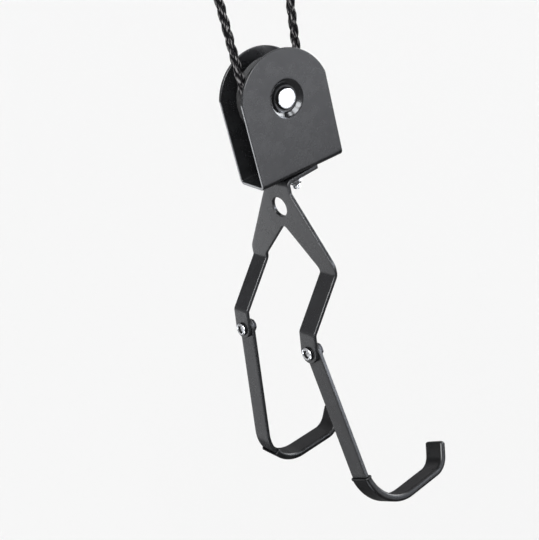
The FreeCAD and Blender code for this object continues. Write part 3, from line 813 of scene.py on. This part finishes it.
def yoke():
    half = YOKE_DEPTH / 2
    top = ARCH_Z + ARCH_R
    path = [(-half, top), (-half, BASE_Z), (half, BASE_Z), (half, top)]
    profile = Profile(path, [YOKE_BEND_R] * 2)
    whole = profile.length
    side = YOKE_WIDTH / 2
    reach = math.acos(side / ARCH_R)
    arch = [Vector((ARCH_R - ARCH_R * math.sin(a), ARCH_R * math.cos(a)))
            for a in np.linspace(reach, math.pi - reach, 60)]
    outline = resampled([*arch, *[Vector((whole - p.x, p.y)) for p in reversed(arch)]], 1.0)
    centres = [(top, 0.0), (whole - top, 0.0)]
    holes = [circle(c, AXLE_R + 0.02, 48) for c in centres]
    holes.append(circle((whole / 2, 0.0), SWIVEL_HOLE_R, 32))
    extra = [p[:] for c in centres for r in DIMPLE_RINGS for p in circle(c, r, 72)]

    def relief(s, w):
        return sum(cone(math.hypot(s - cs, w - cw)) for cs, cw in centres)

    piece = bent_plate("yoke_sheet", profile, yz_plane, outline, holes, YOKE_THICK, 0.55,
                       "hanger", COAT, BLOCK, ["pulley_yoke"], w_step=3.5, extra=extra,
                       keep_off=[(c, DIMPLE_RINGS[-1] + 1.0) for c in centres], relief=relief)
    second_material(piece, ALONG_AXLE, PRESSED_COAT, lambda along, r: 9.5 < r < DIMPLE_MOUTH)


def axle():
    half = YOKE_DEPTH / 2
    floor = half - DIMPLE_DEPTH
    side = [(half, 0.3), (half - 0.02, 6.3), (half - 0.12, 6.95), (half - 0.45, DISC_R),
            (floor + 0.5, DISC_R), (floor + 0.5, FLANGE_R), (floor, FLANGE_R), (floor, AXLE_R)]
    head = [(-a, r) for a, r in side] + side[::-1]
    piece = make("axle_rivet_dressed", *lathe(fillet(head, 0.25, 4), 72), "hanger", "zinc", ZINC,
                 ["axle_rivet"], ALONG_AXLE)
    # painted shadow: the side of the disc and the flange round it are coloured near-black, standing
    # in for the shade in the gap round the head
    second_material(piece, ALONG_AXLE, SHADOW_BLACK, lambda along, r: r > DISC_R - 0.05)


def wheel():
    right = [(HUB_HALF, BUSH_R), (HUB_HALF, HUB_R), (4.0, 12.0), (4.0, 16.5), (6.5, 18.0),
             (6.5, 27.2), (5.7, WHEEL_R), (GROOVE_HALF, WHEEL_R)]
    left = [(-along, r) for along, r in reversed(right)]
    groove = []
    for k in range(13):
        a = math.radians(-90 + 180 * k / 12)
        groove.append((-GROOVE_R * math.sin(a), PITCH_R - GROOVE_R * math.cos(a)))
    rings = fillet(right, 0.4) + groove + fillet(left, 0.4)
    points, _ = lathe(rings, 96, close=False)
    faces = grid_faces(len(rings), 96, close_rows=True)
    make("grooved_wheel", points, faces, "wheel", "wheel_plastic", BLACK_NYLON, ["pulley_wheel"],
         ALONG_AXLE)


yoke()
axle()
wheel()
turned_piece("bronze_bush", [(0.0, AXLE_BORE_R), (-HUB_HALF, AXLE_BORE_R), (-HUB_HALF, BUSH_R),
                             (HUB_HALF, BUSH_R), (HUB_HALF, AXLE_BORE_R)],
             0.2, "wheel", "bronze", BRONZE, ALONG_AXLE, ["wheel_bush"])
inner_face = YOKE_DEPTH / 2 - DIMPLE_DEPTH - YOKE_THICK
for name, low in (("front_axle_washer", -inner_face),
                  ("back_axle_washer", inner_face - AXLE_WASHER_THICK)):
    washer(name, low, low + AXLE_WASHER_THICK, "hanger", "zinc", ZINC, ALONG_AXLE,
           ["axle_washers"], AXLE_BORE_R, AXLE_WASHER_R)


# --- fork
FORK_THICK = 3.0
FORK_TOP = BASE_Z - 0.05
HEAD_X, KNEE_X, ANKLE_X = -19.5, -22.0, -53.8
HEAD_Z, EYE_Z, APEX_Z, KNEE_Z, ANKLE_Z = -65.5, -76.9, -90.8, -123.7, -156.2
KNEE_OUTER_Z, KNEE_INNER_Z = -116.4, -121.2
HEAD_HALF, ARM_OUTER, ARM_INNER = 14.2, 45.5, 30.0
TAB_Y, TAB_Z, TAB_R = 37.75, -172.0, 7.75
FOOT_X, EYE_R = 12.5, 7.5
HEAD_BEND, KNEE_BEND, ANKLE_BEND = 5.0, 2.5, 5.5  # bend radii of the front face
HEAD_CORNER, KNEE_OUTER_R, KNEE_INNER_R, APEX_R = 3.0, 12.0, 6.0, 4.0


def fork():
    lean = math.radians(TAB_LEAN)
    past = ANKLE_Z - TAB_Z + TAB_R + 4.0
    end = (ANKLE_X - math.sin(lean) * past, ANKLE_Z - math.cos(lean) * past)
    path = [(FOOT_X, FORK_TOP), (HEAD_X, FORK_TOP), (KNEE_X, KNEE_Z), (ANKLE_X, ANKLE_Z), end]
    profile = Profile(path, [HEAD_BEND, KNEE_BEND, ANKLE_BEND])
    at = {z: profile.where(z) for z in (HEAD_Z, EYE_Z, APEX_Z, KNEE_OUTER_Z, KNEE_INNER_Z, TAB_Z)}
    s_end = at[TAB_Z] + TAB_R
    half = [(0.0, HEAD_HALF), (at[HEAD_Z], HEAD_HALF), (at[KNEE_OUTER_Z], ARM_OUTER),
            (s_end, ARM_OUTER), (s_end, ARM_INNER), (at[KNEE_INNER_Z], ARM_INNER)]
    radii = [1.0, HEAD_CORNER, KNEE_OUTER_R, TAB_R - 0.02, TAB_R - 0.02, KNEE_INNER_R]
    points = half + [(at[APEX_Z], 0.0)] + [(s, -w) for s, w in reversed(half)]
    outline = rounded(points, radii + [APEX_R] + radii[::-1])
    holes = [circle((at[EYE_Z], 0.0), EYE_R, 64), circle((FOOT_X, 0.0), 3.05, 32),
             circle((at[TAB_Z], TAB_Y), M6_BORE_R, 32), circle((at[TAB_Z], -TAB_Y), M6_BORE_R, 32)]
    bent_plate("fork_sheet", profile, xz_plane, outline, holes, FORK_THICK, 0.5, "fork", COAT,
               FORK, ["hook_fork"], w_step=3.5, flat_step=3.0)


fork()


# --- hooks
BAR_X, BAR_THICK, BAR_WIDTH = 3.55, 3.2, 15.5
BAR_STRAIGHT, CURVE_R, CURVE_TURN = 94.2, 33.2, 93.6
SHELF, TIP_R, TIP_TURN, TIP_STRAIGHT = 30.0, 16.0, 62.0, 9.0
SLEEVE_WALL, SLEEVE_END, SLEEVE_LOOSE = 1.2, 2.0, 0.35
SLEEVE_START = {"left": 20.0, "right": 4.0}  # from the start of the curve, along it


def heading(degrees):
    a = math.radians(degrees)
    return Vector((math.sin(a), -math.cos(a)))


def hook_points():
    first, last = heading(CURVE_TURN), heading(CURVE_TURN + TIP_TURN)
    reach_1 = CURVE_R * math.tan(math.radians(CURVE_TURN / 2))
    reach_2 = TIP_R * math.tan(math.radians(TIP_TURN / 2))
    bottom = Vector((BAR_X, -BAR_STRAIGHT - reach_1))
    corner = bottom + first * (reach_1 + SHELF + reach_2)
    tip = corner + last * (reach_2 + TIP_STRAIGHT)
    return [(BAR_X, BAR_WIDTH / 2), bottom[:], corner[:], tip[:]]


def bar(side):
    profile = Profile(hook_points(), [CURVE_R, TIP_R])
    half = BAR_WIDTH / 2
    whole = profile.length
    top = [Vector((half - half * math.sin(a), half * math.cos(a)))
           for a in np.linspace(0, math.pi, 28)]
    outline = resampled(top + [Vector((whole, -half)), Vector((whole, half))], 1.0)
    holes = [circle((half, 0.0), 3.05, 32)]
    bent_plate(side + "_bar_steel", profile, xz_plane, outline, holes, BAR_THICK, 0.6,
               side + "_hook", BAR_COAT, hook_place(side), [side + "_hook_bar"], flat_step=3.0)


def oblong(half_w, half_t, corner_r):
    corners = [(-half_w, -half_t), (half_w, -half_t), (half_w, half_t), (-half_w, half_t)]
    return rounded(corners, [corner_r] * 4, 0.9)


def sleeve(side):
    """Moulded sleeve swept round the curve: an oblong, lipped at its mouth, closed at its tip."""
    profile = Profile(hook_points(), [CURVE_R, TIP_R])
    start = BAR_WIDTH / 2 + BAR_STRAIGHT + SLEEVE_START[side]
    end = profile.length + SLEEVE_END
    section = oblong(BAR_WIDTH / 2 + SLEEVE_WALL, BAR_THICK / 2 + SLEEVE_WALL, 2.2)
    bore = oblong(BAR_WIDTH / 2 + SLEEVE_LOOSE, BAR_THICK / 2 + SLEEVE_LOOSE, 0.8)
    # (distance along, growth of the section): a bead round the mouth, then the plain wall
    stations = [(start, -0.05), (start + 0.12, 0.16), (start + 0.4, 0.34), (start + 0.9, 0.42),
                (start + 1.5, 0.34), (start + 2.0, 0.12), (start + 2.4, 0.0)]
    steps = [s for s in profile.steps(2.0, math.radians(3)) if start + 2.8 < s < end - 2.2]
    stations += [(s, 0.0) for s in steps]
    for k in range(7):
        a = math.radians(15 * k)
        stations.append((end - 2.0 + 2.0 * math.sin(a), -2.0 * (1 - math.cos(a))))

    def ring_at(outline, s, grow):
        point, normal = profile.at(min(s, profile.length - 0.001))
        ahead = Vector((normal.y, -normal.x)) * max(0.0, s - profile.length)
        centre = point + ahead + normal * (BAR_THICK / 2)
        ring = []
        for p in outline:
            w = math.copysign(max(abs(p.x) + grow, 0.0), p.x)
            here = centre + normal * math.copysign(max(abs(p.y) + grow, 0.0), p.y)
            ring.append((here.x, w, here.y))
        return ring

    points = [p for s, grow in stations for p in ring_at(section, s, grow)]
    faces = grid_faces(len(stations), len(section))
    faces.append(tuple(range(len(points) - len(section), len(points))))
    first = len(points)
    points += ring_at(bore, start + 0.05, 0.0) + ring_at(bore, start + 2.5, -0.3)
    faces += grid_faces(2, len(bore), start=first)
    faces += bridge(range(len(section)), range(first, first + len(bore)))
    make(side + "_sleeve_rubber", points, faces, side + "_hook", "black_rubber", RUBBER,
         [side + "_hook_sleeve"], hook_place(side))


def bridge(outer, inner):
    """Triangles between two closed rings of different counts, by their share of the way round."""
    faces = []
    i = j = 0
    while i < len(outer) or j < len(inner):
        a, b = outer[i % len(outer)], inner[j % len(inner)]
        if j >= len(inner) or (i < len(outer) and (i + 1) / len(outer) <= (j + 1) / len(inner)):
            faces.append((a, outer[(i + 1) % len(outer)], b))
            i += 1
        else:
            faces.append((a, inner[(j + 1) % len(inner)], b))
            j += 1
    return faces


PIVOT_NUT_H, PIVOT_PROUD, SLIP_RING_THICK = 3.4, 0.6, 0.5
bar_back = BAR_X + BAR_THICK + 0.05
nut_start = bar_back + 1.0  # behind a washer 1 mm thick
for side in SIDES:
    bar(side)
    sleeve(side)
    at_tab = tab_place(side)
    screw = make(side + "_pivot_screw_m6",
                 *button_screw(nut_start + PIVOT_NUT_H + PIVOT_PROUD, 8.0), "fork", "zinc", ZINC,
                 [side + "_pivot_screw"], at_tab)
    # painted shade: the hex socket and the rim of the head are coloured near-black, standing in for
    # the shade inside the socket and the contact shadow round the head
    second_material(screw, at_tab, SHADOW_BLACK,
                    lambda along, r: -2.3 < along < -0.2 and (1.0 < r < 2.95 or r > 5.1))
    make(side + "_pivot_lock_nut", *lock_nut(nut_start, PIVOT_NUT_H), "fork", "black_zinc",
         BLACK_ZINC, [side + "_pivot_nut"], at_tab)
    washer(side + "_pivot_washer_dressed", bar_back, nut_start, "fork", "black_zinc", BLACK_ZINC,
           at_tab, [side + "_pivot_washer"])
    washer(side + "_slip_ring_dressed", FORK_THICK, FORK_THICK + SLIP_RING_THICK, "fork",
           "white_plastic", WHITE_NYLON, at_tab, [side + "_slip_ring"])

# --- swivel screw
SWIVEL_NUT_H, SWIVEL_PROUD, SWIVEL_WASHER_THICK = 6.5, 4.0, 1.6
DOWNWARDS = Matrix.Rotation(math.radians(90), 4, "Y")  # turns the lathe's axis down
down = BLOCK @ Matrix.Translation((0, 0, (BASE_Z + YOKE_THICK) * MM)) @ DOWNWARDS
washer_start = YOKE_THICK + 0.05 + FORK_THICK + 0.05
nut_start = washer_start + SWIVEL_WASHER_THICK
make("swivel_screw_m6", *button_screw(nut_start + SWIVEL_NUT_H + SWIVEL_PROUD, nut_start),
     "hanger", "zinc", ZINC, ["swivel_screw"], down)
make("swivel_lock_nut", *lock_nut(nut_start, SWIVEL_NUT_H), "hanger", "zinc", ZINC,
     ["swivel_nut"], down)
washer("swivel_washer_dressed", washer_start, nut_start, "hanger", "zinc", ZINC, down,
       ["swivel_washer"])

# --- ceiling fitting
PLATE_LENGTH, PLATE_WIDTH, PLATE_THICK, PLATE_CORNER_R = 136.0, 40.0, 3.0, 6.0
SCREW_X, SCREW_Y, SCREW_HOLE_R, COUNTERSINK_RINGS = 60.5, 11.0, 2.75, (3.7, 4.4, 5.0)
SADDLE_X, SADDLE_THICK, SADDLE_WIDTH, SADDLE_DROP = 29.25, 2.5, 26.0, 29.0
RIVET_FOOT, FOOT_END, LEG_TOP, WEB_HALF = 21.0, 27.0, 14.0, 12.5
RIVET_R, RIVET_HEAD_R = 1.98, 3.6
GROMMET_BORE_R, GROMMET_NECK_R, GROMMET_FLANGE_R, GROMMET_FLANGE_H = 3.7, 5.5, 7.5, 1.2


def strip(length, width, corner_r):
    """Outline of a straight strip that starts at 0 and lies evenly about the profile."""
    half = width / 2
    corners = [(0.0, -half), (length, -half), (length, half), (0.0, half)]
    return rounded(corners, [corner_r] * 4)


def ceiling_plate():
    half = PLATE_LENGTH / 2
    profile = Profile([(-half, 0.0), (0.0, 0.0), (half, 0.0)], [1.0])
    outline = strip(PLATE_LENGTH, PLATE_WIDTH, PLATE_CORNER_R)
    screws = [(half + x, y) for x in (-SCREW_X, SCREW_X) for y in (-SCREW_Y, SCREW_Y)]
    holes = [circle(c, SCREW_HOLE_R, 32) for c in screws]
    extra = [p[:] for c in screws for r in COUNTERSINK_RINGS for p in circle(c, r, 32)]
    down_side = Matrix.Diagonal((1.0, 1.0, -1.0, 1.0))
    bent_plate("ceiling_plate_dressed", profile, xz_plane, outline, holes, PLATE_THICK, 0.5,
               "hanger", COAT, down_side, ["ceiling_plate"], w_step=5.0, flat_step=5.0,
               extra=extra)


def saddle(side, middle):
    foot = -PLATE_THICK - SADDLE_THICK
    points = [(-FOOT_END, foot), (-LEG_TOP, foot), (-WEB_HALF, -SADDLE_DROP),
              (WEB_HALF, -SADDLE_DROP), (LEG_TOP, foot), (FOOT_END, foot)]
    profile = Profile(points, [2.0, 4.5, 4.5, 2.0])
    outline = strip(profile.length, SADDLE_WIDTH, 4.0)
    holes = [circle((profile.length / 2, 0.0), GROMMET_NECK_R, 48)]
    bent_plate(side + "_saddle_dressed", profile, xz_plane, outline, holes, SADDLE_THICK, 0.5,
               "hanger", COAT, Matrix.Translation((middle * MM, 0, 0)), [side + "_rope_saddle"],
               flat_step=3.0)


ceiling_plate()
for side, way in (("left", -1), ("right", 1)):
    saddle(side, way * SADDLE_X)
    low = PLATE_THICK + SADDLE_THICK
    rivet = fillet([(0.0, RIVET_R), (low, RIVET_R), (low, RIVET_HEAD_R - 0.1),
                    (low + 0.35, RIVET_HEAD_R), (low + 0.9, 3.0), (low + 1.25, 1.9),
                    (low + 1.4, 0.4)], 0.3)
    for foot_name, foot in (("outer", way * RIVET_FOOT), ("inner", -way * RIVET_FOOT)):
        place = Matrix.Translation(((way * SADDLE_X + foot) * MM, 0, 0)) @ DOWNWARDS
        make(side + "_saddle_rivet_" + foot_name, *lathe(rivet), "hanger", "zinc", ZINC,
             ["saddle_rivets"], place)
    low, high = SADDLE_DROP - SADDLE_THICK, SADDLE_DROP
    top, bottom = low - GROMMET_FLANGE_H, high + GROMMET_FLANGE_H
    corners = [((low + high) / 2, GROMMET_BORE_R), (top, GROMMET_BORE_R), (top, GROMMET_FLANGE_R),
               (low, GROMMET_FLANGE_R), (low, GROMMET_NECK_R - 0.05), (high, GROMMET_NECK_R - 0.05),
               (high, GROMMET_FLANGE_R), (bottom, GROMMET_FLANGE_R), (bottom, GROMMET_BORE_R)]
    turned_piece(side + "_grommet_dressed", corners, 0.55, "hanger", "black_rubber", RUBBER,
                 Matrix.Translation((way * SADDLE_X * MM, 0, 0)) @ DOWNWARDS, ["rope_grommets"])

# --- stage and light
FLOOR_Z, FLOOR_HALF = -2.0, 40.0
floor_mesh = bpy.data.meshes.new("floor")
floor_mesh.from_pydata([(x * FLOOR_HALF, y * FLOOR_HALF, FLOOR_Z)
                        for x, y in ((-1, -1), (1, -1), (1, 1), (-1, 1))], [], [(0, 1, 2, 3)])
floor = bpy.data.objects.new("floor", floor_mesh)
bpy.context.scene.collection.objects.link(floor)
pale = Look("pale_floor")
pale.set(Base_Color=(0.86, 0.86, 0.855, 1.0), Roughness=0.9, Specular_IOR_Level=0.1)
floor_mesh.materials.append(pale.material)
floor.visible_glossy = False

# name, direction towards it, strength, angle across
SUNS = [("key_softbox", (-0.375, -0.600, 0.707), 3.2, 34),
        ("side_softbox", (0.961, 0.135, 0.242), 1.3, 30)]
for name, towards, strength, angle in SUNS:
    data = bpy.data.lights.new(name, "SUN")
    data.energy = strength
    data.angle = math.radians(angle)
    lamp = bpy.data.objects.new(name, data)
    lamp.rotation_mode = "QUATERNION"
    lamp.rotation_quaternion = Vector(towards).to_track_quat("Z", "Y")
    bpy.context.scene.collection.objects.link(lamp)

FILL = (0.26, 0.26, 0.265)
SURROUND = (0.905, 0.905, 0.90)
GLOSS_BELOW = (0.42, (0.14, 0.14, 0.145))  # share of the way up, and what gloss sees there
GLOSS_ABOVE = (0.62, (0.50, 0.50, 0.52))
# azimuth, height, half angle of the full part, half angle where it has faded, colour
CARDS = [
    (-59.0, -17.0, 13.0, 26.0, (2.00, 2.03, 2.14)),
    (137.0, -19.0, 12.0, 24.0, (1.00, 1.01, 1.04)),
    (114.0, -17.0, 5.0, 13.0, (4.5, 4.6, 4.8)),
    (-46.0, -36.0, 14.0, 22.0, (0.01, 0.01, 0.012)),
    (130.0, 30.0, 12.0, 24.0, (0.42, 0.42, 0.44)),
    (-12.0, 10.0, 9.0, 16.0, (8.5, 8.7, 9.1)),
    (-109.0, 26.0, 6.0, 12.0, (7.5, 7.7, 8.0)),
    (-4.0, -5.0, 7.0, 12.0, (6.0, 6.2, 6.5)),
    (-86.0, 40.0, 7.0, 13.0, (7.5, 7.7, 8.0)),
    (-39.0, 28.0, 12.0, 20.0, (0.04, 0.04, 0.045)),
    (-18.0, 21.0, 4.0, 9.0, (7.0, 7.2, 7.5)),
    (-50.0, 44.0, 5.0, 10.0, (7.0, 7.2, 7.5)),
    (-41.0, 8.0, 5.0, 10.0, (9.0, 9.5, 10.6)),
    (2.0, -16.0, 8.0, 14.0, (2.2, 2.2, 2.3)),
    (118.0, 24.0, 8.0, 14.0, (0.04, 0.04, 0.045)),
    (-134.0, 34.0, 6.0, 13.0, (8.0, 8.3, 8.8)),
    (-153.0, -26.0, 8.0, 16.0, (6.0, 6.2, 6.6)),
]


def studio_world():
    """Pale surround for the camera, even fill, and a studio of cards and flags for gloss."""
    world = bpy.data.worlds.new("studio")
    bpy.context.scene.world = world
    world.use_nodes = True
    w = Nodes(world.node_tree)
    towards = w.add("ShaderNodeTexCoord").outputs["Generated"]
    split = w.add("ShaderNodeSeparateXYZ")
    w.link(towards, split, "Vector")
    rise = w.remap(split.outputs["Z"], -1.0, 1.0, 0.0, 1.0)
    gloss = w.ramp(rise, GLOSS_BELOW, GLOSS_ABOVE)
    for azimuth, height, full, faded, colour in CARDS:
        a, h = math.radians(azimuth), math.radians(height)
        dot = w.add("ShaderNodeVectorMath", operation="DOT_PRODUCT")
        dot.inputs[1].default_value = (math.cos(a) * math.cos(h), math.sin(a) * math.cos(h),
                                       math.sin(h))
        w.link(towards, dot.inputs[0])
        fade = w.remap(dot.outputs["Value"], math.cos(math.radians(faded)),
                       math.cos(math.radians(full)), 0.0, 1.0, "SMOOTHSTEP")
        gloss = w.mix(fade, gloss, (*colour, 1.0))
    ray = w.add("ShaderNodeLightPath")
    seen = w.mix(ray.outputs["Is Glossy Ray"], (*FILL, 1.0), gloss)
    seen = w.mix(ray.outputs["Is Camera Ray"], seen, (*SURROUND, 1.0))
    w.link(seen, w.tree.nodes["Background"], "Color")


studio_world()

bpy.context.scene.view_settings.view_transform = "Standard"
